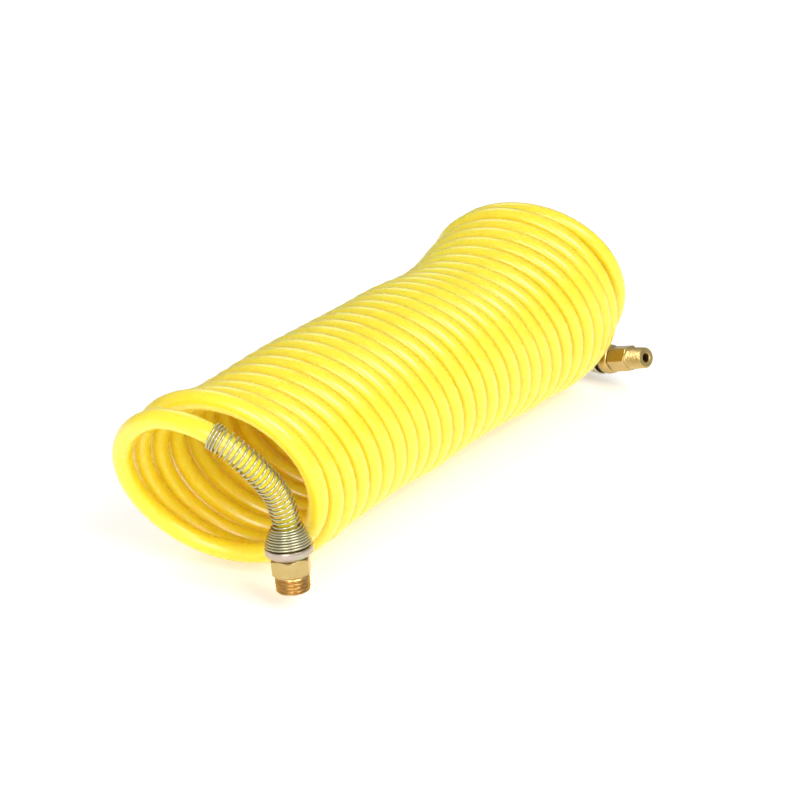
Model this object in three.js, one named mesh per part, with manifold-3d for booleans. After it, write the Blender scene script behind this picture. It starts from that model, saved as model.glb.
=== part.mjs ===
// A recoil air hose: one length of nylon hose wound into a close coil that lies on its side, with a rigid
// male pipe fitting at the front end, a swivelling male pipe fitting at the rear end, and a spring guard on
// each. Millimetres, +Z up. The coil's axis runs along +X and the origin is on the ground, below its middle.
import * as THREE from 'three';
import { mergeVertices } from 'three/addons/utils/BufferGeometryUtils.js';
import Module from 'manifold-3d';

const wasm = await Module();
wasm.setup();

// ---- Driving dimensions ----

const HOSE_RADIUS = 4.0;
const HOSE_BORE = 3.175;
const GAP = 0.3; // left between any two pieces that touch

// How the coil lies, turn by turn. lean tips the top of a turn forward and yaw swings it round, in degrees.
// lift is how far the turn's lowest point is above the ground, and spacing is the step between turns.
const COIL = [
  { turn: 0, lean: 23.5, yaw: 10.3, radius: 37.6, lift: 4.4, spacing: 9.1 },
  { turn: 0.5, lean: 20, yaw: 10.9, radius: 38.5, lift: 3.6, spacing: 9.1 },
  { turn: 1, lean: 18.7, yaw: 10.2, radius: 38.8, lift: 1.9, spacing: 9.05 },
  { turn: 2, lean: 17.6, yaw: 9.1, radius: 38.7, lift: -0.7, spacing: 9.05 },
  { turn: 3, lean: 19, yaw: 9.4, radius: 37.6, lift: 1.6, spacing: 9 },
  { turn: 8, lean: 21, yaw: 5, radius: 37.5, lift: 5.5, spacing: 8.4 },
  { turn: 11, lean: 20.5, yaw: 3.4, radius: 37.9, lift: 4.7, spacing: 8.25 },
  { turn: 14, lean: 20.7, yaw: 5, radius: 37.8, lift: 5.7, spacing: 8.45 },
  { turn: 17, lean: 21.4, yaw: 6.1, radius: 38.5, lift: 5.3, spacing: 8.55 },
  { turn: 20, lean: 21.4, yaw: 7, radius: 39.1, lift: 2.7, spacing: 8.55 },
  { turn: 22, lean: 21, yaw: 8.4, radius: 40, lift: 1.9, spacing: 8.35 },
  { turn: 24, lean: 19.3, yaw: 9.3, radius: 42, lift: 0.2, spacing: 7.75 },
  { turn: 25.4, lean: 18.1, yaw: 8.7, radius: 43, lift: 0.3, spacing: 7.5 },
  { turn: 26.4, lean: 17.3, yaw: 8.3, radius: 43.1, lift: 1.2, spacing: 7.5 },
  { turn: 27.2, lean: 17.1, yaw: 8.4, radius: 42.8, lift: 5, spacing: 7.6 },
  { turn: 27.5, lean: 13.8, yaw: 11.7, radius: 41.1, lift: 8.2, spacing: 8.05 },
  { turn: 27.8, lean: 17.7, yaw: 12.5, radius: 42, lift: 6.6, spacing: 8.45 },
  { turn: 28.1, lean: 17.4, yaw: 7.5, radius: 43.6, lift: 2.6, spacing: 8.75 },
  { turn: 28.4, lean: 17.6, yaw: 7.6, radius: 44.1, lift: 1, spacing: 9.05 },
];
const COIL_START_X = -115.7;
const COIL_BOW = 6.4; // how far both ends of the coil's axis bow towards +Y
const START_PHASE = 67.5; // where on its turn the hose enters the coil, in degrees from +Y towards +Z
const END_PHASE = -67.5; // where it leaves it again
const WHOLE_TURNS = 28;
const TURNS = WHOLE_TURNS + (START_PHASE - END_PHASE) / 360;
const COIL_SPLIT_TURN = 20.5; // the turns behind this one stand wider
const COIL_SIDES = 24;

// The hose's route from the coil to each fitting, from the coil outwards.
const FRONT_ROUTE = [
  [-146.7, 15.4, 74.7], [-147.0, 3.7, 75.8], [-146.3, -5.5, 74.2], [-144.4, -13.8, 70.1],
  [-141.4, -20.7, 63.9], [-137.1, -25.2, 56.7], [-131.8, -27.7, 48.2], [-129.2, -28.6, 41.5],
];
const REAR_ROUTE = [
  [137.6, 21.8, 8.3], [140.4, 16.0, 6.7], [144.2, 10.2, 5.9], [147.9, 3.4, 5.8], [150.0, -3.5, 6.2],
  [150.6, -10.7, 7.2],
];

// Each fitting is built along its own axis: 0 is the end face of its thread, and what is behind is negative.
const FRONT = { tip: [-128.4, -32.4, 8.0], out: [-0.013, -0.113, -0.994], sideways: [1, 0, 0] };
const REAR = { tip: [139.3, -51.3, 19.8], out: [-0.28, -0.912, 0.295], sideways: [0, 0, 1] };

const FRONT_THREAD = { length: 7.3, radius: 6.85, ridges: 5 };
const FRONT_HEX = { flats: 14.29, from: -13.9, to: -7.3 };
const FRONT_BORE = 2.4;
const FRONT_HOSE_END = -14.2;
const FRONT_INSERT_END = -25.0;
const REAR_THREAD = { length: 9.5, radius: 5.15, ridges: 7 };
const REAR_HEX = { flats: 11.1, from: -20.5, to: -9.5 };
const REAR_BORE = 2.1;
const REAR_HOSE_END = -28.4;
const REAR_STEM_END = -36.5;

const WIRE_RADIUS = 0.5;
const GUARD_RADIUS = 5.05; // the wire's centre, where the spring runs along the hose
const FRONT_GUARD = { flareStart: -19.1, flareEnd: -26.5, flareRadius: 8.8, reach: 50, turns: 20 };
const REAR_GUARD = { flareStart: -28.9, flareEnd: -35.5, flareRadius: 6.7, reach: 35, turns: 14 };
const FLARE_TURNS = 6;

// ---- Materials ----

function finish(colour, roughness, metalness) {
  return new THREE.MeshStandardMaterial({ color: colour, roughness, metalness });
}

const MATERIALS = {
  nylon: finish(0xf7e23c, 0.32, 0),
  brass: finish(0xc9a04e, 0.3, 1),
  plated: finish(0xc9c5b4, 0.35, 1),
  rubber: finish(0x161616, 0.8, 0),
};

// ---- Helpers ----

// The middle of the base of the whole hose's bounding box, which the origin is moved to.
const BASE_MIDDLE = new THREE.Vector3(1.27, -1.78, 0.08);

const root = new THREE.Group();
root.position.copy(BASE_MIDDLE).negate();

function addPiece(name, geometry, material, parent = root) {
  const mesh = new THREE.Mesh(geometry, MATERIALS[material]);
  mesh.name = name;
  parent.add(mesh);
}

function toSolid(geometry) {
  const bare = new THREE.BufferGeometry();
  const source = geometry.index ? geometry.toNonIndexed() : geometry;
  bare.setAttribute('position', source.getAttribute('position'));
  const merged = mergeVertices(bare, 1e-4);
  return new wasm.Manifold(new wasm.Mesh({
    numProp: 3,
    vertProperties: merged.attributes.position.array,
    triVerts: new Uint32Array(merged.index.array),
  }));
}

function toGeometry(solid) {
  const mesh = solid.getMesh();
  const geometry = new THREE.BufferGeometry();
  geometry.setAttribute('position', new THREE.BufferAttribute(new Float32Array(mesh.vertProperties), 3));
  geometry.setIndex(new THREE.BufferAttribute(new Uint32Array(mesh.triVerts), 1));
  geometry.computeVertexNormals();
  return geometry;
}

// A turned piece: its outline, [radius, height] points in anticlockwise order, spun about the Y axis.
function turned(outline, sides = 24) {
  const points = [...outline, outline[0]].map(([radius, height]) => new THREE.Vector2(radius, height));
  return new THREE.LatheGeometry(points, sides);
}

function ringOutline(inner, outer, low, high) {
  return [[inner, low], [outer, low], [outer, high], [inner, high]];
}

function roundBar(radius, low, high, sides = 24) {
  const bar = new THREE.CylinderGeometry(radius, radius, high - low, sides);
  bar.translate(0, (low + high) / 2, 0);
  return bar;
}

// A hexagonal bar whose corners are turned off at both ends.
function hexBar(flats, low, high) {
  const corner = flats / Math.sqrt(3);
  const bevel = corner - flats / 2 + 0.15;
  const drop = bevel * Math.tan(Math.PI / 6);
  const bar = new THREE.CylinderGeometry(corner, corner, high - low, 6);
  bar.translate(0, (low + high) / 2, 0);
  const turnedEnvelope = turned([
    [0, low], [corner - bevel, low], [corner, low + drop], [corner, high - drop], [corner - bevel, high],
    [0, high],
  ]);
  return toSolid(bar).intersect(toSolid(turnedEnvelope));
}

// A tapered male thread as evenly spaced ridges, with a bevelled lead at its end face.
function threadOutline({ length, radius, ridges }) {
  const taper = 1 / 32;
  const depth = 0.55;
  const lead = 0.9;
  const pitch = (length - lead) / ridges;
  const outline = [[0, -length]];
  for (let ridge = 0; ridge < ridges; ridge += 1) {
    const start = -length + ridge * pitch;
    outline.push([radius - depth - (start + length) * taper, start]);
    outline.push([radius - (start + length + pitch / 2) * taper, start + pitch / 2]);
  }
  outline.push([radius - depth - (length - lead) * taper, -lead]);
  outline.push([radius - lead - depth / 2, 0], [0, 0]);
  return outline;
}

// A group whose +Y axis points out of a fitting's thread and whose origin is the thread's end face.
function fittingGroup({ tip, out, sideways }) {
  const y = new THREE.Vector3(...out).normalize();
  const x = new THREE.Vector3(...sideways).addScaledVector(y, -y.dot(new THREE.Vector3(...sideways)));
  x.normalize();
  const z = new THREE.Vector3().crossVectors(x, y);
  const group = new THREE.Group();
  group.applyMatrix4(new THREE.Matrix4().makeBasis(x, y, z).setPosition(...tip));
  root.add(group);
  return group;
}

function pointOnAxis({ tip, out }, height) {
  return new THREE.Vector3(...tip).addScaledVector(new THREE.Vector3(...out).normalize(), height);
}

// ---- The coil ----

// The value at a turn on a smooth curve through the listed ones. Beyond either end of the list it stays as is.
function coilValue(key, anyTurn) {
  const last = COIL.length - 1;
  const turn = THREE.MathUtils.clamp(anyTurn, COIL[0].turn, COIL[last].turn);
  let i = 0;
  while (i < last - 1 && turn > COIL[i + 1].turn) i += 1;
  const slope = (k) => {
    const before = COIL[Math.max(k - 1, 0)];
    const after = COIL[Math.min(k + 1, last)];
    return (after[key] - before[key]) / (after.turn - before.turn);
  };
  const span = COIL[i + 1].turn - COIL[i].turn;
  const u = (turn - COIL[i].turn) / span;
  const rise = u * u * (3 - 2 * u);
  return COIL[i][key] * (1 - rise) + COIL[i + 1][key] * rise
    + slope(i) * span * u * (1 - u) ** 2 - slope(i + 1) * span * u * u * (1 - u);
}

const toRadians = THREE.MathUtils.degToRad;
const AXIS_STEPS_PER_TURN = 20;
const axisPositions = [0];
for (let step = 1; step <= (TURNS + 1) * AXIS_STEPS_PER_TURN; step += 1) {
  const turn = (step - 0.5) / AXIS_STEPS_PER_TURN;
  const tilt = Math.cos(toRadians(coilValue('lean', turn))) * Math.cos(toRadians(coilValue('yaw', turn)));
  axisPositions.push(axisPositions.at(-1) + coilValue('spacing', turn) / tilt / AXIS_STEPS_PER_TURN);
}

// How far along the coil's axis a turn is. Before the first turn the spacing carries on as it starts.
function axisPosition(turn) {
  if (turn < 0) return turn * axisPositions[1] * AXIS_STEPS_PER_TURN;
  const step = Math.floor(turn * AXIS_STEPS_PER_TURN);
  const share = turn * AXIS_STEPS_PER_TURN - step;
  return axisPositions[step] * (1 - share) + axisPositions[step + 1] * share;
}

// A point in the plane of one turn, at a phase and a distance from that turn's centre.
function coilPoint(turn, phase, radius) {
  const lean = toRadians(coilValue('lean', turn));
  const yaw = toRadians(coilValue('yaw', turn));
  const up = new THREE.Vector3(-Math.sin(lean) * Math.cos(yaw), -Math.sin(lean) * Math.sin(yaw), Math.cos(lean));
  const across = new THREE.Vector3(-Math.sin(yaw), Math.cos(yaw), 0);
  const low = new THREE.Vector3(
    COIL_START_X + axisPosition(turn),
    COIL_BOW * (2 * turn / (TURNS + 1.5) - 1) ** 2,
    coilValue('lift', turn),
  );
  const outer = coilValue('radius', turn) + HOSE_RADIUS;
  return low.addScaledVector(up, outer)
    .addScaledVector(across, radius * Math.cos(toRadians(phase)))
    .addScaledVector(up, radius * Math.sin(toRadians(phase)));
}

// Columns run along the coil at these phases. Two extra ones make the steps where the hose enters and leaves.
const STEP_WIDTH = 0.6;
const columns = [];
for (let side = 0; side < COIL_SIDES; side += 1) columns.push(START_PHASE - side * 360 / COIL_SIDES);
columns.splice(1, 0, START_PHASE - STEP_WIDTH);
columns.splice(columns.findIndex((phase) => phase <= END_PHASE), 0, END_PHASE + STEP_WIDTH);

// The radius of a flat-sided ring at a phase, with one of its flats at the very bottom.
function flatSided(radius, phase) {
  const side = 360 / COIL_SIDES;
  const middle = Math.round((phase + 90) / side) * side - 90;
  return radius / Math.cos(toRadians(phase - middle));
}

// A row of corners round the coil: the turn it lies on at each phase, and how thick the wall is there,
// either way from the middle of the hose.
function coilRow(turnAt, halfWall = HOSE_RADIUS) {
  return { turnAt, halfWall };
}

// The coil starts on the hose's own spiral, and these are rows a distance ahead of the middle of the hose.
function firstRow(ahead, halfWall) {
  const share = ahead / coilValue('spacing', 0);
  return coilRow((phase) => (phase === START_PHASE ? 1 : (START_PHASE - phase) / 360) - share, halfWall);
}

// It ends on it too, and these are rows a distance behind the middle of the hose.
function lastRow(behind, halfWall) {
  return coilRow((phase) => {
    const left = phase === END_PHASE ? 1 : (((phase - END_PHASE) % 360) + 360) % 360 / 360;
    return TURNS - left + behind / coilValue('spacing', TURNS - left);
  }, halfWall);
}

// The outer shape of a run of turns: a thick-walled tube, lathed straight and then bent to the coil.
function coilTube(rows) {
  const outline = rows.map((row, height) => [2, height]);
  outline.push(...rows.map((row, height) => [1, rows.length - 1 - height]));
  const tube = turned(outline, columns.length);
  const place = tube.getAttribute('position');
  for (let i = 0; i < place.count; i += 1) {
    const angle = Math.atan2(place.getX(i), place.getZ(i)) / (2 * Math.PI);
    const column = Math.round(angle * columns.length + columns.length) % columns.length;
    const phase = columns[(columns.length - column) % columns.length];
    const { turnAt, halfWall } = rows[Math.round(place.getY(i))];
    const turn = turnAt(phase);
    const wall = Math.hypot(place.getX(i), place.getZ(i)) > 1.5 ? halfWall : -halfWall;
    const point = coilPoint(turn, phase, flatSided(coilValue('radius', turn) + wall, phase));
    place.setXYZ(i, point.x, point.y, point.z);
  }
  tube.computeVertexNormals();
  return tube;
}

const CORNER = HOSE_RADIUS * (Math.SQRT2 - 1); // half of one side of an octagon round the hose
const ROW_TURNS = 2;
const splitShare = GAP / 2 / COIL[0].spacing;
const frontRows = [firstRow(HOSE_RADIUS, CORNER), firstRow(CORNER, HOSE_RADIUS)];
for (let turn = 1.5; turn < COIL_SPLIT_TURN - 1; turn += ROW_TURNS) frontRows.push(coilRow(() => turn));
frontRows.push(coilRow(() => COIL_SPLIT_TURN - splitShare));
const rearRows = [coilRow(() => COIL_SPLIT_TURN + splitShare)];
for (let turn = COIL_SPLIT_TURN + ROW_TURNS; turn < TURNS - 1.5; turn += ROW_TURNS) {
  rearRows.push(coilRow(() => turn));
}
rearRows.push(lastRow(CORNER, HOSE_RADIUS), lastRow(HOSE_RADIUS, CORNER));
addPiece('hose_coil_front', coilTube(frontRows), 'nylon');
addPiece('hose_coil_rear', coilTube(rearRows), 'nylon');

// ---- The hose outside the coil ----

const TAIL_SIDES = 10;
const TAIL_STEP = 1.1 * HOSE_RADIUS;
const COIL_GAP = 2.4; // between a tail and the coil's end, whose face it meets at an angle

// The route from the coil and then on, straight, along the fitting's axis to where the hose ends inside it.
function tailCurve(route, fitting, straightFrom, hoseEnd) {
  const points = route.map((point) => new THREE.Vector3(...point));
  for (const share of [0, 0.5, 1]) {
    points.push(pointOnAxis(fitting, THREE.MathUtils.lerp(straightFrom, hoseEnd, share)));
  }
  const curve = new THREE.CatmullRomCurve3(points, false, 'centripetal');
  curve.arcLengthDivisions = 1000;
  return curve;
}

// The stretch of a curve from a distance along it to its end.
class Stretch extends THREE.Curve {
  constructor(curve, from) {
    super();
    this.curve = curve;
    this.start = from / curve.getLength();
  }

  getPoint(t, target = new THREE.Vector3()) {
    return this.curve.getPointAt(this.start + (1 - this.start) * t, target);
  }
}

// A tail's cord is plain, with its real bore only where the fitting's tube goes in.
function hoseTail(curve, fitting, boreFrom, hoseEnd) {
  const section = new THREE.Shape();
  for (let side = 0; side < TAIL_SIDES; side += 1) {
    const angle = side * 2 * Math.PI / TAIL_SIDES;
    section[side ? 'lineTo' : 'moveTo'](HOSE_RADIUS * Math.cos(angle), HOSE_RADIUS * Math.sin(angle));
  }
  section.closePath();
  const steps = Math.round(curve.getLength() / TAIL_STEP);
  const extrudePath = new Stretch(curve, COIL_GAP);
  const tube = new THREE.ExtrudeGeometry(section, { steps, extrudePath, bevelEnabled: false });
  const bore = roundBar(HOSE_BORE, boreFrom, hoseEnd + 1, 16);
  bore.applyMatrix4(fitting.matrix);
  return toGeometry(toSolid(tube).subtract(toSolid(bore)));
}

const front = fittingGroup(FRONT);
const rear = fittingGroup(REAR);
const frontCurve = tailCurve(FRONT_ROUTE, FRONT, FRONT_INSERT_END - 2, FRONT_HOSE_END);
const rearCurve = tailCurve(REAR_ROUTE, REAR, REAR_STEM_END - 1, REAR_HOSE_END);
addPiece('hose_front_tail', hoseTail(frontCurve, front, FRONT_INSERT_END - 0.5, FRONT_HOSE_END), 'nylon');
addPiece('hose_rear_tail', hoseTail(rearCurve, rear, REAR_STEM_END - 0.5, REAR_HOSE_END), 'nylon');

// ---- The spring guards ----

// Wire wound round a tail: open turns along the hose, then close turns that widen over the fitting.
class GuardWire extends THREE.Curve {
  constructor(curve, hoseEnd, spec) {
    super();
    const length = curve.getLength();
    this.arcLengthDivisions = 2000;
    this.curve = curve;
    this.spec = spec;
    this.steps = 400;
    this.frames = curve.computeFrenetFrames(this.steps, false);
    this.narrow = (length - (hoseEnd - spec.flareEnd)) / length;
    this.wide = (length - (hoseEnd - spec.flareStart)) / length;
    this.start = this.narrow - spec.reach / length;
  }

  getPoint(t, target = new THREE.Vector3()) {
    const turn = t * (this.spec.turns + FLARE_TURNS);
    const open = Math.min(turn / this.spec.turns, 1);
    const flare = Math.max((turn - this.spec.turns) / FLARE_TURNS, 0);
    const along = this.start + (this.narrow - this.start) * open + (this.wide - this.narrow) * flare;
    const radius = GUARD_RADIUS + (this.spec.flareRadius - GUARD_RADIUS) * Math.sqrt(flare);
    const angle = turn * 2 * Math.PI;
    const frame = Math.round(along * this.steps);
    return this.curve.getPointAt(along, target)
      .addScaledVector(this.frames.normals[frame], radius * Math.cos(angle))
      .addScaledVector(this.frames.binormals[frame], radius * Math.sin(angle));
  }
}

const WIRE_STEPS_PER_TURN = 12;

function guardSpring(curve, hoseEnd, spec) {
  const wire = new GuardWire(curve, hoseEnd, spec);
  const steps = WIRE_STEPS_PER_TURN * (spec.turns + FLARE_TURNS);
  const section = new THREE.Shape();
  section.moveTo(WIRE_RADIUS, 0);
  section.lineTo(0, WIRE_RADIUS);
  section.lineTo(-WIRE_RADIUS, 0);
  section.lineTo(0, -WIRE_RADIUS);
  section.closePath();
  return new THREE.ExtrudeGeometry(section, { steps, extrudePath: wire, bevelEnabled: false });
}

addPiece('front_spring', guardSpring(frontCurve, FRONT_HOSE_END, FRONT_GUARD), 'plated');
addPiece('rear_spring', guardSpring(rearCurve, REAR_HOSE_END, REAR_GUARD), 'plated');

// ---- The front fitting: rigid, with a male taper thread ----

const INSERT_RADIUS = 2.85;
const INSERT_BORE = 2.1;
const SEAT_RADIUS = INSERT_RADIUS + GAP;

const frontBody = toSolid(turned(threadOutline(FRONT_THREAD)))
  .add(hexBar(FRONT_HEX.flats, FRONT_HEX.from, FRONT_HEX.to))
  .subtract(toSolid(roundBar(FRONT_BORE, FRONT_HEX.from - 1, 1)))
  .subtract(toSolid(roundBar(SEAT_RADIUS, FRONT_HEX.from - 1, FRONT_HEX.to - 2)));
addPiece('front_body', toGeometry(frontBody), 'brass', front);

const insertTop = FRONT_HEX.to - 2 - GAP;
addPiece('front_insert', turned(ringOutline(INSERT_BORE, INSERT_RADIUS, FRONT_INSERT_END, insertTop)),
  'brass', front);

// The sleeve grips the hose from outside, under the collar and the flare of the spring.
const SLEEVE_BORE = HOSE_RADIUS + 0.35;
addPiece('front_sleeve', turned(ringOutline(SLEEVE_BORE, 5.6, -24.5, FRONT_HOSE_END)), 'brass', front);

// The plated collar that the spring's flare stands against, bevelled towards the hexagon.
addPiece('front_collar', turned([
  [6.1, -18.3], [9.3, -18.3], [9.3, -16.0], [7.7, FRONT_HOSE_END], [6.1, FRONT_HOSE_END],
], 32), 'plated', front);

// ---- The rear fitting: a smaller male taper thread that turns on a sealed stem ----

const SOCKET_RADIUS = 4.25;
const SOCKET_END = -12.5;
const RING_GROOVE = { radius: 4.85, from: -19.8, to: -18.55 };
const rearBody = toSolid(turned(threadOutline(REAR_THREAD)))
  .add(hexBar(REAR_HEX.flats, REAR_HEX.from, REAR_HEX.to))
  .subtract(toSolid(roundBar(REAR_BORE, SOCKET_END - 1, 1)))
  .subtract(toSolid(roundBar(SOCKET_RADIUS, REAR_HEX.from - 1, SOCKET_END)))
  .subtract(toSolid(roundBar(RING_GROOVE.radius, RING_GROOVE.from, RING_GROOVE.to)));
addPiece('rear_swivel_body', toGeometry(rearBody), 'brass', rear);

// The rounded collar closes the socket and turns with the body. The stem's neck passes through it.
const NECK_RADIUS = 3.0;
const NECK_HOLE = 3.4;
addPiece('rear_swivel_collar', turned([
  [NECK_HOLE, -27.0], [5.8, -27.0], [6.6, -26.3], [7.0, -24.9], [7.0, -22.9], [6.6, -21.5], [5.9, -20.8],
  [NECK_HOLE, -20.8],
], 32), 'brass', rear);

// The stem: a barb for the hose, the neck, and a head with two seal grooves inside the socket.
const STEM_BORE = 1.9;
const HEAD_RADIUS = 3.85;
const GROOVE_FLOOR = 2.7;
const SEAL_GROOVES = [[-17.1, -15.6], [-14.9, -13.4]];
const stemOutline = [
  [STEM_BORE, REAR_STEM_END], [2.4, REAR_STEM_END], [2.8, -35.0], [2.5, -34.9], [2.8, -33.4], [2.5, -33.3],
  [2.5, -28.6], [NECK_RADIUS, -28.1], [NECK_RADIUS, -17.6], [HEAD_RADIUS, -17.6],
];
for (const [from, to] of SEAL_GROOVES) {
  stemOutline.push([HEAD_RADIUS, from], [GROOVE_FLOOR, from], [GROOVE_FLOOR, to], [HEAD_RADIUS, to]);
}
stemOutline.push([HEAD_RADIUS, SOCKET_END - 0.4], [STEM_BORE, SOCKET_END - 0.4]);
addPiece('rear_stem', turned(stemOutline), 'brass', rear);

SEAL_GROOVES.forEach(([from, to], index) => {
  const ring = new THREE.TorusGeometry(3.45, 0.45, 8, 24);
  ring.rotateX(Math.PI / 2);
  ring.translate(0, (from + to) / 2, 0);
  addPiece(`rear_o_ring_${index + 1}`, ring, 'rubber', rear);
});

addPiece('rear_thrust_washer', turned(ringOutline(3.3, 3.9, -18.5, -17.9)), 'brass', rear);

// The split ring that snaps into the socket's groove and holds the washer and the stem's head in.
const splitRing = toSolid(turned(ringOutline(3.4, 4.5, -19.5, -18.85)));
const split = new THREE.BoxGeometry(1.6, 4, 6);
split.translate(0, -19, 5);
addPiece('rear_retaining_ring', toGeometry(splitRing.subtract(toSolid(split))), 'plated', rear);

addPiece('rear_dust_seal', turned(ringOutline(3.3, 6.1, -28.1, -27.3)), 'rubber', rear);
addPiece('rear_sleeve', turned(ringOutline(SLEEVE_BORE, 5.1, -33.4, REAR_HOSE_END)), 'brass', rear);

export default root;
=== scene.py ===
"""The looks of a recoil air hose: a closely wound yellow nylon hose lying on its side on a pale floor, with
a rigid brass fitting at its front end and a swivelling one at its rear end.

Sizes are in millimetres, as in the CAD source, until metres() turns them into the frame's own units.
"""

import math

import bmesh
import bpy
from mathutils import Matrix, Vector


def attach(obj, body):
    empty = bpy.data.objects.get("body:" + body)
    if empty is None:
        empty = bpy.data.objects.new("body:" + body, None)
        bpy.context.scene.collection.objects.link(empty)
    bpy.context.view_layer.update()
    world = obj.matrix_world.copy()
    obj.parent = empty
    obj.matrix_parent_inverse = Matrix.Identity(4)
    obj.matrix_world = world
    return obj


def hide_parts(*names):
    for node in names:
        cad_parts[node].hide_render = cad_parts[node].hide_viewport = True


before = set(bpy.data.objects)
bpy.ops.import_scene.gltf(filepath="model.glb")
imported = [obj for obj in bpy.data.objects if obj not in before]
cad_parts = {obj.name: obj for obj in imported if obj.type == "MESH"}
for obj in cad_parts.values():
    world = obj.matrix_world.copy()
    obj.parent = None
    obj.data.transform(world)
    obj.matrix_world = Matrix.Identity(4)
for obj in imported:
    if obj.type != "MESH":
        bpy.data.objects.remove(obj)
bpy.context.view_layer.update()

# ---- Sizes shared with the CAD source ----

MILLIMETRE = 0.001  # in the frame's units
HOSE_RADIUS = 4.0
BASE_MIDDLE = Vector((1.27, -1.78, 0.08))  # where the frame's origin is in these millimetres

# How the coil lies, as (turn, lean, yaw, radius, lift, spacing). Lean tips the top of a turn forward and yaw
# swings it round, in degrees. Lift is how far its lowest point is above the ground, and spacing is the step
# from turn to turn.
STATIONS = (
    (0.0, 23.5, 10.3, 37.6, 4.4, 9.1),
    (0.5, 20.0, 10.9, 38.5, 3.6, 9.1),
    (1.0, 18.7, 10.2, 38.8, 1.9, 9.05),
    (2.0, 17.6, 9.1, 38.7, -0.7, 9.05),
    (3.0, 19.0, 9.4, 37.6, 1.6, 9.0),
    (8.0, 21.0, 5.0, 37.5, 5.5, 8.4),
    (11.0, 20.5, 3.4, 37.9, 4.7, 8.25),
    (14.0, 20.7, 5.0, 37.8, 5.7, 8.45),
    (17.0, 21.4, 6.1, 38.5, 5.3, 8.55),
    (20.0, 21.4, 7.0, 39.1, 2.7, 8.55),
    (22.0, 21.0, 8.4, 40.0, 1.9, 8.35),
    (24.0, 19.3, 9.3, 42.0, 0.2, 7.75),
    (25.4, 18.1, 8.7, 43.0, 0.3, 7.5),
    (26.4, 17.3, 8.3, 43.1, 1.2, 7.5),
    (27.2, 17.1, 8.4, 42.8, 5.0, 7.6),
    (27.5, 13.8, 11.7, 41.1, 8.2, 8.05),
    (27.8, 17.7, 12.5, 42.0, 6.6, 8.45),
    (28.1, 17.4, 7.5, 43.6, 2.6, 8.75),
    (28.4, 17.6, 7.6, 44.1, 1.0, 9.05),
)
TURN, LEAN, YAW, RADIUS, LIFT, SPACING = range(6)
COIL_START_X = -115.7
COIL_BOW = 6.4  # how far both ends of the coil's axis bow towards +Y
START_PHASE = 67.5  # where on its turn the hose enters the coil, in degrees from +Y towards +Z
END_PHASE = -67.5  # where it leaves it again
WHOLE_TURNS = 28
TURNS = WHOLE_TURNS + (START_PHASE - END_PHASE) / 360
BOW_TURNS = TURNS + 1.5  # the turns that the bow spans
AXIS_STEPS = 20  # per turn

# The hose's route from the coil to each fitting, from the coil outwards.
FRONT_ROUTE = (
    (-146.7, 15.4, 74.7), (-147.0, 3.7, 75.8), (-146.3, -5.5, 74.2), (-144.4, -13.8, 70.1),
    (-141.4, -20.7, 63.9), (-137.1, -25.2, 56.7), (-131.8, -27.7, 48.2), (-129.2, -28.6, 41.5),
)
REAR_ROUTE = (
    (137.6, 21.8, 8.3), (140.4, 16.0, 6.7), (144.2, 10.2, 5.9), (147.9, 3.4, 5.8), (150.0, -3.5, 6.2),
    (150.6, -10.7, 7.2),
)

# Heights along a fitting run from 0 at its thread's end face, and what is behind that is negative.
FRONT_HEX = {"flats": 14.29, "low": -13.9, "high": -7.3}
FRONT_THREAD = {"radius": 6.85, "pitch": 1.411, "depth": 0.85, "low": -7.3}
REAR_HEX = {"flats": 11.1, "low": -20.5, "high": -9.5}
REAR_THREAD = {"radius": 5.15, "pitch": 0.941, "depth": 0.6, "low": -9.5}

# The guards' wire is a little thinner than the CAD source's, and each guard has one turn more or less.
WIRE_RADIUS = 0.45
GUARD_RADIUS = 5.05  # the wire's middle, where the spring runs along the hose
FRONT_GUARD = {"wide": -18.85, "narrow": -26.5, "flare_radius": 8.75, "reach": 50.0, "turns": 21}
REAR_GUARD = {"wide": -28.9, "narrow": -35.5, "flare_radius": 6.7, "reach": 35.0, "turns": 13}
FLARE_TURNS = 8
CLOSE_TURNS = 3  # at the end away from the fitting
CLOSE_PITCH = 1.15


class Fitting:
    """Where a fitting is. Its own +Z points out of its thread, and its origin is the thread's end face.

    The hose ends inside it at hose_end and is straight from there to straight_from.
    """

    def __init__(self, tip, out, sideways, straight_from, hose_end):
        self.tip = Vector(tip)
        self.out = Vector(out).normalized()
        across = Vector(sideways)
        across = (across - across.dot(self.out) * self.out).normalized()
        self.axes = Matrix((across, self.out.cross(across), self.out)).transposed()
        self.straight_from = straight_from
        self.hose_end = hose_end

    def on_axis(self, height):
        return self.tip + self.out * height

    def matrix(self):
        """From the fitting's own millimetres to the frame's metres."""
        place = Matrix.Translation(self.tip - BASE_MIDDLE) @ self.axes.to_4x4()
        return Matrix.Scale(MILLIMETRE, 4) @ place


FRONT = Fitting((-128.4, -32.4, 8.0), (-0.013, -0.113, -0.994), (1, 0, 0), -27.0, -14.2)
REAR = Fitting((139.3, -51.3, 19.8), (-0.28, -0.912, 0.295), (0, 0, 1), -37.5, -28.4)


def metres(point):
    return (Vector(point) - BASE_MIDDLE) * MILLIMETRE


# ---- The camera ----

CAMERA_PLACE = (-774.86, -472.83, 396.76)
CAMERA_TARGET = (-1.381, -2.366, 36.291)
CAMERA_LENS = 103.04
CAMERA_SENSOR = 36.0


def make_camera():
    data = bpy.data.cameras.new("camera")
    data.lens = CAMERA_LENS
    data.sensor_width = CAMERA_SENSOR
    data.clip_start = 0.01
    camera = bpy.data.objects.new("camera", data)
    bpy.context.scene.collection.objects.link(camera)
    place = metres(CAMERA_PLACE)
    camera.location = place
    camera.rotation_euler = (metres(CAMERA_TARGET) - place).to_track_quat("-Z", "Y").to_euler()
    bpy.context.scene.camera = camera


# ---- The hose's centreline ----


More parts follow.
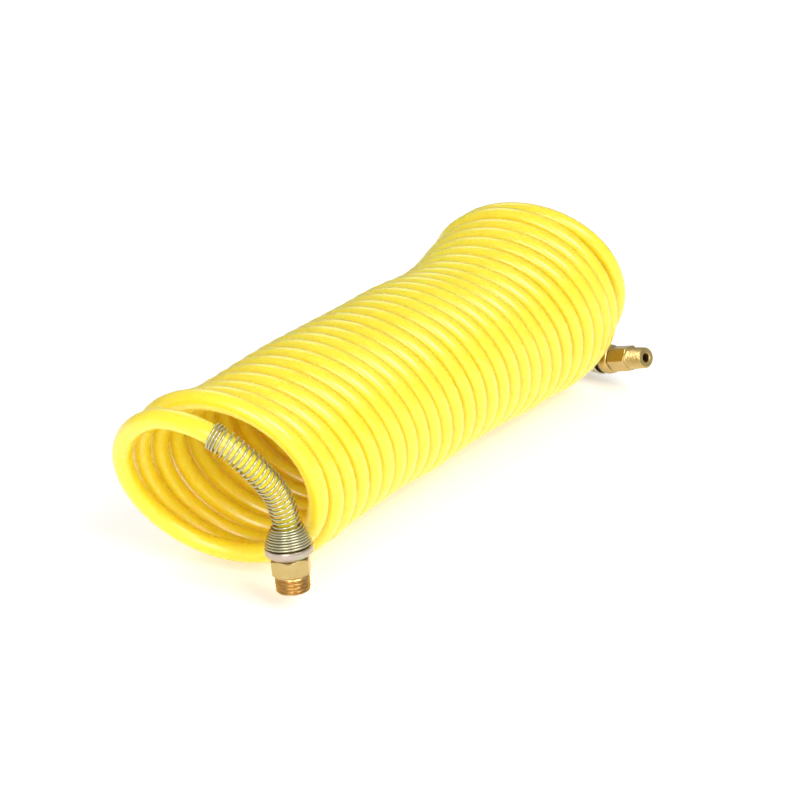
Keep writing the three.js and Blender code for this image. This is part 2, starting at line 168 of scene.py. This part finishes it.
def station_value(column, turn):
    """The value at a turn on a smooth curve through the stations."""
    last = len(STATIONS) - 1
    i = 0
    while i < last - 1 and turn > STATIONS[i + 1][TURN]:
        i += 1

    def slope(k):
        before = STATIONS[max(k - 1, 0)]
        after = STATIONS[min(k + 1, last)]
        return (after[column] - before[column]) / (after[TURN] - before[TURN])

    here, following = STATIONS[i], STATIONS[i + 1]
    span = following[TURN] - here[TURN]
    u = (turn - here[TURN]) / span
    rise = u * u * (3 - 2 * u)
    return (
        here[column] * (1 - rise)
        + following[column] * rise
        + slope(i) * span * u * (1 - u) ** 2
        - slope(i + 1) * span * u * u * (1 - u)
    )


def axis_positions():
    """How far along the coil's axis each step of a turn is."""
    positions = [0.0]
    for step in range(1, int(TURNS * AXIS_STEPS) + 2):
        turn = (step - 0.5) / AXIS_STEPS
        tilt = math.cos(math.radians(station_value(LEAN, turn)))
        tilt *= math.cos(math.radians(station_value(YAW, turn)))
        positions.append(positions[-1] + station_value(SPACING, turn) / tilt / AXIS_STEPS)
    return positions


AXIS_POSITIONS = axis_positions()


def coil_point(turn):
    """The middle of the hose, that many turns into the coil."""
    step = int(turn * AXIS_STEPS)
    share = turn * AXIS_STEPS - step
    along = AXIS_POSITIONS[step] * (1 - share) + AXIS_POSITIONS[step + 1] * share
    lean = math.radians(station_value(LEAN, turn))
    yaw = math.radians(station_value(YAW, turn))
    up = Vector((-math.sin(lean) * math.cos(yaw), -math.sin(lean) * math.sin(yaw), math.cos(lean)))
    across = Vector((-math.sin(yaw), math.cos(yaw), 0.0))
    radius = station_value(RADIUS, turn)
    centre = Vector((
        COIL_START_X + along,
        COIL_BOW * (2 * turn / BOW_TURNS - 1) ** 2,
        HOSE_RADIUS + station_value(LIFT, turn),
    ))
    centre += up * radius
    phase = math.radians(START_PHASE - 360 * turn)
    return centre + radius * (math.cos(phase) * across + math.sin(phase) * up)


def smooth_through(controls, step):
    """Points about one step apart on a centripetal Catmull-Rom curve, without its first and last spans."""
    points = []
    for p0, p1, p2, p3 in zip(controls, controls[1:], controls[2:], controls[3:]):
        t1 = (p1 - p0).length ** 0.5
        t2 = t1 + (p2 - p1).length ** 0.5
        t3 = t2 + (p3 - p2).length ** 0.5
        count = max(round((p2 - p1).length / step), 1)
        for k in range(count):
            t = t1 + (t2 - t1) * k / count
            a1 = p0.lerp(p1, t / t1)
            a2 = p1.lerp(p2, (t - t1) / (t2 - t1))
            a3 = p2.lerp(p3, (t - t2) / (t3 - t2))
            b1 = a1.lerp(a2, t / t2)
            b2 = a2.lerp(a3, (t - t1) / (t3 - t1))
            points.append(b1.lerp(b2, (t - t1) / (t2 - t1)))
    points.append(controls[-2].copy())
    return points


HELIX_STEPS = 48  # per turn
TAIL_STEP = 1.5
HOSE_SIDES = 28


def tail_points(route, fitting, helix_side):
    """The hose from a fitting to the coil, given the coil's first points on that side."""
    start, end = fitting.hose_end, fitting.straight_from
    controls = [fitting.on_axis(start + (start - end) / 2)]
    controls += [fitting.on_axis(start), fitting.on_axis((start + end) / 2), fitting.on_axis(end)]
    controls += [Vector(point) for point in reversed(route[1:])]
    controls += helix_side
    return smooth_through(controls, TAIL_STEP)


def hose_centreline():
    whole = int(TURNS * HELIX_STEPS)
    turns = [k / HELIX_STEPS for k in range(whole)] + [TURNS]
    helix = [coil_point(turn) for turn in turns]
    front = tail_points(FRONT_ROUTE, FRONT, [helix[0], helix[2]])
    rear = tail_points(REAR_ROUTE, REAR, [helix[-1], helix[-3]])
    return front[:-1] + helix + rear[-2::-1]


def lengths_along(points):
    lengths = [0.0]
    for a, b in zip(points, points[1:]):
        lengths.append(lengths[-1] + (b - a).length)
    return lengths


def carried_frames(points):
    """Two directions across the line at each point, turned as little as possible from one to the next."""
    tangents = [points[1] - points[0]]
    tangents += [c - a for a, c in zip(points, points[2:])]
    tangents.append(points[-1] - points[-2])
    across = tangents[0].orthogonal()
    frames = []
    for tangent in tangents:
        tangent.normalize()
        across = (across - across.dot(tangent) * tangent).normalized()
        frames.append((across, tangent.cross(across)))
    return frames


def make_tube(name, points, radius, sides):
    """A round bar along the points, closed at both ends."""
    form = bmesh.new()
    rings = []
    for point, (across, second) in zip(points, carried_frames(points)):
        ring = []
        for side in range(sides):
            angle = 2 * math.pi * side / sides
            reach = radius * (math.cos(angle) * across + math.sin(angle) * second)
            ring.append(form.verts.new(metres(point + reach)))
        rings.append(ring)
    for ring, following in zip(rings, rings[1:]):
        for side in range(sides):
            after = (side + 1) % sides
            face = form.faces.new((ring[side], ring[after], following[after], following[side]))
            face.smooth = True
    form.faces.new(reversed(rings[0]))
    form.faces.new(rings[-1])
    mesh = bpy.data.meshes.new(name)
    form.to_mesh(mesh)
    form.free()
    piece = bpy.data.objects.new(name, mesh)
    bpy.context.scene.collection.objects.link(piece)
    return piece


def make_hose(points):
    hose = make_tube("hose", points, HOSE_RADIUS, HOSE_SIDES)
    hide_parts("hose_coil_front", "hose_coil_rear", "hose_front_tail", "hose_rear_tail")
    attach(hose, "hose")
    return hose


# ---- Materials ----


class Finish:
    """A material's node tree, with the few steps that every finish here repeats."""

    def __init__(self, name):
        self.material = bpy.data.materials.new(name)
        self.material.use_nodes = True
        self.tree = self.material.node_tree
        self.shader = self.tree.nodes["Principled BSDF"]
        self.place = self.tree.nodes.new("ShaderNodeTexCoord").outputs["Object"]

    def set(self, **values):
        for name, value in values.items():
            self.shader.inputs[name.replace("_", " ")].default_value = value

    def noise(self, scale, detail=3.0, stretch=(1, 1, 1)):
        mapping = self.tree.nodes.new("ShaderNodeMapping")
        mapping.inputs["Scale"].default_value = stretch
        texture = self.tree.nodes.new("ShaderNodeTexNoise")
        texture.inputs["Scale"].default_value = scale
        texture.inputs["Detail"].default_value = detail
        self.tree.links.new(self.place, mapping.inputs["Vector"])
        self.tree.links.new(mapping.outputs["Vector"], texture.inputs["Vector"])
        return texture.outputs["Fac"]

    def ramp(self, source, stops, target):
        ramp = self.tree.nodes.new("ShaderNodeValToRGB")
        elements = ramp.color_ramp.elements
        while len(elements) < len(stops):
            elements.new(0.5)
        for element, (place, colour) in zip(elements, stops):
            element.position = place
            element.color = (*colour, 1.0)
        self.tree.links.new(source, ramp.inputs["Fac"])
        self.tree.links.new(ramp.outputs["Color"], self.shader.inputs[target])

    def span(self, source, low, high, target):
        remap = self.tree.nodes.new("ShaderNodeMapRange")
        limits = {"From Min": 0.3, "From Max": 0.7, "To Min": low, "To Max": high}
        for name, value in limits.items():
            remap.inputs[name].default_value = value
        self.tree.links.new(source, remap.inputs["Value"])
        self.tree.links.new(remap.outputs["Result"], self.shader.inputs[target])

    def bump(self, source, distance, strength=1.0):
        bump = self.tree.nodes.new("ShaderNodeBump")
        bump.inputs["Strength"].default_value = strength
        bump.inputs["Distance"].default_value = distance
        self.tree.links.new(source, bump.inputs["Height"])
        self.tree.links.new(bump.outputs["Normal"], self.shader.inputs["Normal"])


def nylon_finish():
    finish = Finish("yellow_nylon")
    finish.ramp(
        finish.noise(30.0),
        ((0.35, (0.985, 0.67, 0.02)), (0.65, (0.99, 0.70, 0.03))),
        "Base Color",
    )
    finish.span(finish.noise(90.0), 0.24, 0.30, "Roughness")
    finish.bump(finish.noise(45.0, 2.0), 0.0001, 0.2)
    finish.set(
        Subsurface_Weight=0.75,
        Subsurface_Radius=(0.02, 0.010, 0.001),
        Subsurface_Scale=1.0,
        IOR=1.53,
        Coat_Weight=0.7,
        Coat_Roughness=0.35,
    )
    return finish.material


def brass_finish(name, dark, light):
    finish = Finish(name)
    finish.ramp(finish.noise(0.12), ((0.3, dark), (0.7, light)), "Base Color")
    finish.span(finish.noise(0.25), 0.28, 0.38, "Roughness")
    finish.bump(finish.noise(1.0, 2.0, (0.05, 0.05, 3.0)), 0.01, 0.08)
    finish.set(Metallic=1.0)
    return finish.material


def plated_finish():
    """Bright plating, whose thin film shows patches of pale green, straw and pink."""
    finish = Finish("plated_steel")
    finish.ramp(
        finish.noise(0.2, 2.0),
        (
            (0.30, (0.42, 0.47, 0.35)),
            (0.45, (0.51, 0.46, 0.34)),
            (0.60, (0.54, 0.42, 0.36)),
            (0.72, (0.45, 0.45, 0.41)),
        ),
        "Base Color",
    )
    finish.span(finish.noise(0.4), 0.28, 0.38, "Roughness")
    finish.set(Metallic=1.0)
    return finish.material


def wire_painted_reflection_finish():
    finish = Finish("spring_wire_painted_reflection")
    # Painted reflection: the wire's base colour is tinted pale yellow to stand for the yellow hose that it
    # reflects; the noise only varies its tone at random.
    finish.ramp(
        finish.noise(200.0),
        ((0.3, (0.48, 0.46, 0.31)), (0.7, (0.58, 0.54, 0.36))),
        "Base Color",
    )
    finish.span(finish.noise(300.0), 0.26, 0.34, "Roughness")
    finish.set(Metallic=1.0)
    return finish.material


def rubber_finish():
    finish = Finish("black_rubber")
    finish.ramp(finish.noise(0.8), ((0.3, (0.012, 0.012, 0.012)), (0.7, (0.03, 0.03, 0.03))), "Base Color")
    finish.span(finish.noise(2.0), 0.6, 0.8, "Roughness")
    return finish.material


# ---- The fittings ----

AROUND = 96  # a multiple of 12, so that a hexagon's corners fall on columns
SHARP_ANGLE = 32  # degrees


def spin(name, rows, fitting, material, body, replaced):
    """A closed solid whose rows are (height, radius), going round its section.

    A radius may be a function of the height and the angle.
    """
    mesh = bpy.data.meshes.new(name)
    form = bmesh.new()
    rings = []
    for height, radius in rows:
        ring = []
        for k in range(AROUND):
            angle = 2 * math.pi * k / AROUND
            reach = radius(height, angle) if callable(radius) else radius
            ring.append(form.verts.new((reach * math.cos(angle), reach * math.sin(angle), height)))
        rings.append(ring)
    for ring, following in zip(rings, rings[1:] + rings[:1]):
        for k in range(AROUND):
            after = (k + 1) % AROUND
            form.faces.new((ring[k], ring[after], following[after], following[k]))
    bmesh.ops.recalc_face_normals(form, faces=form.faces)
    for face in form.faces:
        face.smooth = True
    form.to_mesh(mesh)
    form.free()
    mesh.set_sharp_from_angle(angle=math.radians(SHARP_ANGLE))
    piece = bpy.data.objects.new(name, mesh)
    bpy.context.scene.collection.objects.link(piece)
    piece.matrix_world = fitting.matrix()
    mesh.materials.append(material)
    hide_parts(replaced)
    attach(piece, body)
    return piece


def evenly(low, high, count):
    return [low + (high - low) * k / count for k in range(count + 1)]


SIXTH = math.pi / 3
BEVEL_SLOPE = 1.7
BEVEL_ROWS = 8


def hex_rows(flats, low, high):
    """Rows down a hexagonal bar whose corners are turned off at both ends, where the rows are close."""
    apothem = flats / 2
    corner = apothem / math.cos(SIXTH / 2) - 0.08

    def radius(height, angle):
        from_middle = (angle + SIXTH / 2) % SIXTH - SIXTH / 2
        bevel = apothem * 0.99 + BEVEL_SLOPE * min(high - height, height - low)
        return min(apothem / math.cos(from_middle), bevel, corner)

    bevel_length = 0.09 * flats
    heights = evenly(low, low + bevel_length, BEVEL_ROWS) + evenly(high - bevel_length, high, BEVEL_ROWS)
    return [(height, radius) for height in reversed(heights)]


TAPER = 1 / 32  # how much a pipe thread's radius grows along it
THREAD_LEAD = 0.9


def thread_rows(count, radius, pitch, depth, low):
    """Rows down a tapered male thread, with a bevelled lead at its end and a run-out at its root."""

    def at(height, angle):
        turn = height / pitch + angle / (2 * math.pi)
        ridge = abs(2 * (turn % 1.0) - 1.0)
        ridge = min(max(1.15 * ridge - 0.075, 0.0), 1.0)
        fade = min((height - low) / pitch, 1.0)
        outside = radius - (height - low) * TAPER
        cut = outside - depth * (1 - ridge) * fade
        bevel = radius - depth - 0.15 - height / THREAD_LEAD * (depth + 0.25)
        return min(cut, bevel)

    return [(height, at) for height in reversed(evenly(low, 0.0, count))]


def make_front_body(brass, thread_brass):
    rows = [(-13.9, 3.15), (-9.3, 3.15), (-9.3, 2.4), (-0.4, 2.4), (0.0, 2.8)]
    rows += thread_rows(60, **FRONT_THREAD)
    rows += hex_rows(**FRONT_HEX)
    body = spin("front_fitting", rows, FRONT, brass, "hose", "front_body")
    body.data.materials.append(thread_brass)
    for face in body.data.polygons:
        if face.center.z > FRONT_THREAD["low"]:
            face.material_index = 1


def make_front_collar(plated):
    rows = [
        (-14.2, 6.2), (-14.2, 7.5), (-14.4, 7.8), (-15.4, 9.0), (-15.9, 9.25), (-16.1, 9.3), (-17.9, 9.3),
        (-18.15, 9.2), (-18.3, 8.95), (-18.3, 6.2),
    ]
    spin("front_ring", rows, FRONT, plated, "hose", "front_collar")


def make_rear_body(brass):
    rows = [
        (-20.5, 4.25), (-19.8, 4.25), (-19.8, 4.85), (-18.55, 4.85), (-18.55, 4.25), (-12.5, 4.25),
        (-12.5, 2.1), (-0.3, 2.1), (0.0, 2.4),
    ]
    rows += thread_rows(100, **REAR_THREAD)
    rows += hex_rows(**REAR_HEX)
    spin("rear_fitting", rows, REAR, brass, "swivel", "rear_swivel_body")


def make_rear_collar(brass):
    """A rounded collar: its outside is half an ellipse from one end to the other."""
    middle, half_length = -23.9, 3.1
    inner, edge, bulge = 3.4, 5.7, 1.3
    rows = [(middle + half_length, inner), (middle + half_length, edge)]
    for angle in evenly(math.pi / 2, -math.pi / 2, 12):
        rows.append((middle + half_length * math.sin(angle), edge + bulge * math.cos(angle)))
    rows += [(middle - half_length, edge), (middle - half_length, inner)]
    spin("rear_cap", rows, REAR, brass, "swivel", "rear_swivel_collar")


# ---- The spring guards ----

WIRE_STEPS = 32  # per turn
WIRE_SIDES = 10


def guard_points(points, hose_end, wide, narrow, flare_radius, reach, turns):
    """The wire's middle, from its widest turn over the fitting to its last turn on the hose.

    points run from the hose's end outwards. wide is the height where the spring is widest and narrow where
    it comes down to the hose. reach is how far it runs along the hose, with that many open turns.
    """
    lengths = lengths_along(points)
    frames = carried_frames(points)
    pitch = (reach - CLOSE_TURNS * CLOSE_PITCH) / turns
    wire = []
    index = 0
    for step in range((FLARE_TURNS + turns + CLOSE_TURNS) * WIRE_STEPS + 1):
        turn = step / WIRE_STEPS
        share = min(turn / FLARE_TURNS, 1.0)
        open_turns = min(max(turn - FLARE_TURNS, 0.0), turns)
        close_turns = max(turn - FLARE_TURNS - turns, 0.0)
        along = wide + (narrow - wide) * share - pitch * open_turns - CLOSE_PITCH * close_turns
        radius = GUARD_RADIUS + (flare_radius - GUARD_RADIUS) * (1 - share) ** 0.6
        target = hose_end - along
        while index < len(lengths) - 2 and lengths[index + 1] < target:
            index += 1
        share = (target - lengths[index]) / (lengths[index + 1] - lengths[index])
        middle = points[index].lerp(points[index + 1], share)
        normal = frames[index][0].lerp(frames[index + 1][0], share)
        second = frames[index][1].lerp(frames[index + 1][1], share)
        angle = 2 * math.pi * turn
        wire.append(middle + radius * (math.cos(angle) * normal + math.sin(angle) * second))
    return wire


def make_guard(name, wire, material, replaced):
    guard = make_tube(name, wire, WIRE_RADIUS, WIRE_SIDES)
    guard.data.materials.append(material)
    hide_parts(replaced)
    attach(guard, "hose")


# ---- The floor and the lights ----


def make_floor():
    mesh = bpy.data.meshes.new("floor")
    half = 6.0
    corners = [(-half, -half, 0), (half, -half, 0), (half, half, 0), (-half, half, 0)]
    mesh.from_pydata(corners, [], [(0, 1, 2, 3)])
    floor = bpy.data.objects.new("floor", mesh)
    bpy.context.scene.collection.objects.link(floor)
    finish = Finish("pale_floor")
    finish.ramp(finish.noise(3.0), ((0.3, (0.90, 0.90, 0.90)), (0.7, (0.92, 0.92, 0.92))), "Base Color")
    finish.set(Roughness=0.9, Emission_Color=(1.0, 1.0, 1.0, 1.0), Emission_Strength=0.3)
    mesh.materials.append(finish.material)


def add_light(name, place, size, power):
    data = bpy.data.lights.new(name, "AREA")
    data.shape = "DISK"
    data.size = size
    data.energy = power
    light = bpy.data.objects.new(name, data)
    light.location = place
    light.rotation_euler = (-Vector(place)).to_track_quat("-Z", "Y").to_euler()
    bpy.context.scene.collection.objects.link(light)


LAMPS = {  # place, width, power
    "key": ((-0.5, -1.2, 1.1), 1.0, 17.0),
    "fill": ((-1.5, -0.45, 0.6), 0.9, 12.0),
    "back": ((0.9, 0.9, 1.3), 1.0, 4.0),
}
SKY_FADE = {"From Min": 0.0, "From Max": 0.5, "To Min": 0.3, "To Max": 0.5}  # strength by height


def make_lights():
    """A white sky that fades towards the horizon, and three soft lamps."""
    world = bpy.data.worlds.new("studio")
    bpy.context.scene.world = world
    world.use_nodes = True
    nodes = world.node_tree.nodes
    links = world.node_tree.links
    height = nodes.new("ShaderNodeSeparateXYZ")
    fade = nodes.new("ShaderNodeMapRange")
    for name, value in SKY_FADE.items():
        fade.inputs[name].default_value = value
    links.new(nodes.new("ShaderNodeTexCoord").outputs["Generated"], height.inputs["Vector"])
    links.new(height.outputs["Z"], fade.inputs["Value"])
    links.new(fade.outputs["Result"], nodes["Background"].inputs["Strength"])
    nodes["Background"].inputs["Color"].default_value = (1.0, 1.0, 1.0, 1.0)
    for name, (place, size, power) in LAMPS.items():
        add_light(name, place, size, power)
    bpy.context.scene.view_settings.view_transform = "Standard"


# ---- Making it all ----

make_camera()
centreline = hose_centreline()
hose = make_hose(centreline)

brass = brass_finish("turned_brass", (0.52, 0.38, 0.14), (0.62, 0.47, 0.20))
thread_brass = brass_finish("thread_brass", (0.56, 0.36, 0.14), (0.66, 0.44, 0.18))
plated = plated_finish()
rubber = rubber_finish()
hose.data.materials.append(nylon_finish())

wire = wire_painted_reflection_finish()
front_wire = guard_points(centreline, FRONT.hose_end, **FRONT_GUARD)
rear_wire = guard_points(centreline[::-1], REAR.hose_end, **REAR_GUARD)
make_guard("front_guard", front_wire, wire, "front_spring")
make_guard("rear_guard", rear_wire, wire, "rear_spring")
make_front_body(brass, thread_brass)
make_front_collar(plated)
make_rear_body(brass)
make_rear_collar(brass)

for node, material in {
    "front_insert": brass,
    "front_sleeve": brass,
    "rear_stem": brass,
    "rear_sleeve": brass,
    "rear_thrust_washer": brass,
    "rear_retaining_ring": plated,
    "rear_dust_seal": rubber,
    "rear_o_ring_1": rubber,
    "rear_o_ring_2": rubber,
}.items():
    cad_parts[node].data.materials.clear()
    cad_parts[node].data.materials.append(material)

make_floor()
make_lights()
